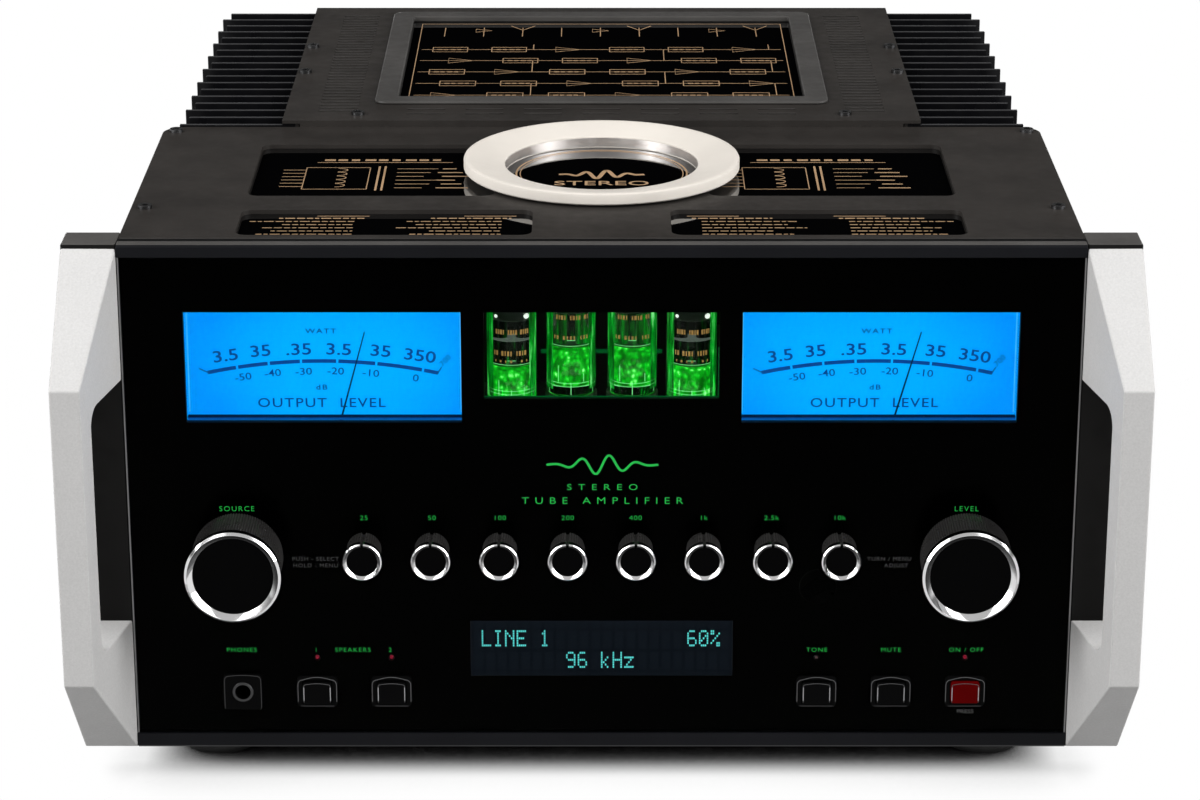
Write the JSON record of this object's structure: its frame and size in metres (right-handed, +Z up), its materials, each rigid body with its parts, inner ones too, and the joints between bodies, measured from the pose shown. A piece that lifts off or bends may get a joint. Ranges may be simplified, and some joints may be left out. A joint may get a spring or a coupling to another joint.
{
  "type": "audio amplifier",
  "caption": "Stereo amplifier: black glass front with needle meters, tube window, knobs and buttons, end handles, a round ring on the front cover, finned heat sinks behind.",
  "frame": {"origin": "on the floor plane under the feet, at the middle of the object's width and depth", "axes": "+X to the right seen from the front, +Y from the glass front to the rear panel, +Z up"},
  "size_m": [0.4444, 0.48, 0.246],
  "materials": {
    "chassis_steel": "polished",
    "foot_rubber": "matt",
    "panel_black": "satin black",
    "front_glass": "clear, polished",
    "rail_dark": "dark anodised",
    "handle_silver": "bead blasted, anodised",
    "cover_paint": "fine powder coat",
    "print_glass": "black, polished",
    "ring_champagne": "satin, champagne",
    "frame_paint": "fine powder coat",
    "sink_black": "black anodised",
    "screw_steel": "dark zinc",
    "core_iron": "varnished",
    "capacitor_sleeve": "gloss",
    "board_green": "solder mask",
    "socket_ceramic": "matt",
    "tube_glass": "clear",
    "electrode_metal": "satin",
    "dial_blue": "backlit",
    "display_glass": "smoked",
    "lamp_red": "lit",
    "sensor_red": "smoked",
    "knob_black": "satin",
    "knob_chrome": "polished",
    "button_black": "satin",
    "button_red": "satin",
    "needle_black": "matt",
    "contact_gold": "gold plated",
    "zinc_cast": "satin",
    "ink_green": "backlit print",
    "ink_gold": "print",
    "ink_navy": "print",
    "ink_grey": "print",
    "display_teal": "lit dots",
    "tube_glow": "lit"
  },
  "bodies": {
    "amplifier": {"chassis_tray": "chassis_steel", "feet": "foot_rubber", "front_subpanel": "panel_black", "front_glass": "front_glass", "upper_rail": "rail_dark", "lower_rail": "rail_dark", "left_handle": "handle_silver", "right_handle": "handle_silver", "handle_brackets": "panel_black", "transformer_cover": "cover_paint", "cover_glass": "print_glass", "emblem_ring": "ring_champagne", "rear_cover": "cover_paint", "diagram_frame": "frame_paint", "diagram_glass": "print_glass", "left_heat_sink": "sink_black", "right_heat_sink": "sink_black", "rear_panel": "panel_black", "cover_screws": "screw_steel", "power_transformer": "core_iron", "output_transformers": "core_iron", "filter_capacitors": "capacitor_sleeve", "amplifier_boards": "board_green", "preamp_board": "board_green", "tube_board": "board_green", "tube_sockets": "socket_ceramic", "tube_glass": "tube_glass", "tube_electrodes": "electrode_metal", "meter_cases": "panel_black", "meter_dials": "dial_blue", "meter_movements": "zinc_cast", "display_module": "display_glass", "headphone_jack": "knob_black", "button_bezels": "knob_black", "indicator_lenses": "lamp_red", "remote_sensor": "sensor_red", "control_pots": "zinc_cast", "control_board": "board_green", "speaker_posts": "contact_gold", "phono_jacks": "contact_gold", "balanced_sockets": "zinc_cast", "mains_inlet": "knob_black"},
    "input_shaft": {"input_shaft": "knob_chrome"},
    "input_knob": {"input_knob": "knob_black"},
    "volume_knob": {"volume_knob": "knob_black"},
    "tone_knob_1": {"tone_knob_1": "knob_black"},
    "tone_knob_2": {"tone_knob_2": "knob_black"},
    "tone_knob_3": {"tone_knob_3": "knob_black"},
    "tone_knob_4": {"tone_knob_4": "knob_black"},
    "tone_knob_5": {"tone_knob_5": "knob_black"},
    "tone_knob_6": {"tone_knob_6": "knob_black"},
    "tone_knob_7": {"tone_knob_7": "knob_black"},
    "tone_knob_8": {"tone_knob_8": "knob_black"},
    "speaker_button_1": {"speaker_button_1": "button_black"},
    "speaker_button_2": {"speaker_button_2": "button_black"},
    "tone_button": {"tone_button": "button_black"},
    "mute_button": {"mute_button": "button_black"},
    "power_button": {"power_button": "button_red"},
    "left_needle": {"left_needle": "needle_black"},
    "right_needle": {"right_needle": "needle_black"}
  },
  "joints": [
    {"name": "selector_push", "type": "slide", "parent": "amplifier", "child": "input_shaft", "axis": [0, 1, 0], "range_m": [0, 0.001], "stiffness_N_per_m": 900},
    {"name": "selector_turn", "type": "hinge", "parent": "input_shaft", "child": "input_knob", "pos_m": [-0.15349, -0.19, 0.10341], "axis": [0, 1, 0], "continuous": true},
    {"name": "level_turn", "type": "hinge", "parent": "amplifier", "child": "volume_knob", "pos_m": [0.15349, -0.19, 0.10341], "axis": [0, 1, 0], "continuous": true},
    {"name": "tone_turn_1", "type": "hinge", "parent": "amplifier", "child": "tone_knob_1", "pos_m": [-0.10013, -0.19, 0.1067], "axis": [0, 1, 0], "range_deg": [-140, 140]},
    {"name": "tone_turn_2", "type": "hinge", "parent": "amplifier", "child": "tone_knob_2", "pos_m": [-0.07152, -0.19, 0.1067], "axis": [0, 1, 0], "range_deg": [-140, 140]},
    {"name": "tone_turn_3", "type": "hinge", "parent": "amplifier", "child": "tone_knob_3", "pos_m": [-0.04291, -0.19, 0.1067], "axis": [0, 1, 0], "range_deg": [-140, 140]},
    {"name": "tone_turn_4", "type": "hinge", "parent": "amplifier", "child": "tone_knob_4", "pos_m": [-0.0143, -0.19, 0.1067], "axis": [0, 1, 0], "range_deg": [-140, 140]},
    {"name": "tone_turn_5", "type": "hinge", "parent": "amplifier", "child": "tone_knob_5", "pos_m": [0.0143, -0.19, 0.1067], "axis": [0, 1, 0], "range_deg": [-140, 140]},
    {"name": "tone_turn_6", "type": "hinge", "parent": "amplifier", "child": "tone_knob_6", "pos_m": [0.04291, -0.19, 0.1067], "axis": [0, 1, 0], "range_deg": [-140, 140]},
    {"name": "tone_turn_7", "type": "hinge", "parent": "amplifier", "child": "tone_knob_7", "pos_m": [0.07152, -0.19, 0.1067], "axis": [0, 1, 0], "range_deg": [-140, 140]},
    {"name": "tone_turn_8", "type": "hinge", "parent": "amplifier", "child": "tone_knob_8", "pos_m": [0.10013, -0.19, 0.1067], "axis": [0, 1, 0], "range_deg": [-140, 140]},
    {"name": "speaker_button_1_push", "type": "slide", "parent": "amplifier", "child": "speaker_button_1", "axis": [0, 1, 0], "range_m": [0, 0.002], "stiffness_N_per_m": 350},
    {"name": "speaker_button_2_push", "type": "slide", "parent": "amplifier", "child": "speaker_button_2", "axis": [0, 1, 0], "range_m": [0, 0.002], "stiffness_N_per_m": 350},
    {"name": "tone_button_push", "type": "slide", "parent": "amplifier", "child": "tone_button", "axis": [0, 1, 0], "range_m": [0, 0.002], "stiffness_N_per_m": 350},
    {"name": "mute_button_push", "type": "slide", "parent": "amplifier", "child": "mute_button", "axis": [0, 1, 0], "range_m": [0, 0.002], "stiffness_N_per_m": 350},
    {"name": "power_button_push", "type": "slide", "parent": "amplifier", "child": "power_button", "axis": [0, 1, 0], "range_m": [0, 0.002], "stiffness_N_per_m": 350},
    {"name": "left_needle_swing", "type": "hinge", "parent": "amplifier", "child": "left_needle", "pos_m": [-0.11599, -0.182, 0.1362], "axis": [0, 1, 0], "range_deg": [-60, 30], "stiffness_Nm_per_rad": 0.002},
    {"name": "right_needle_swing", "type": "hinge", "parent": "amplifier", "child": "right_needle", "pos_m": [0.11599, -0.182, 0.1362], "axis": [0, 1, 0], "range_deg": [-60, 30], "stiffness_Nm_per_rad": 0.002}
  ]
}
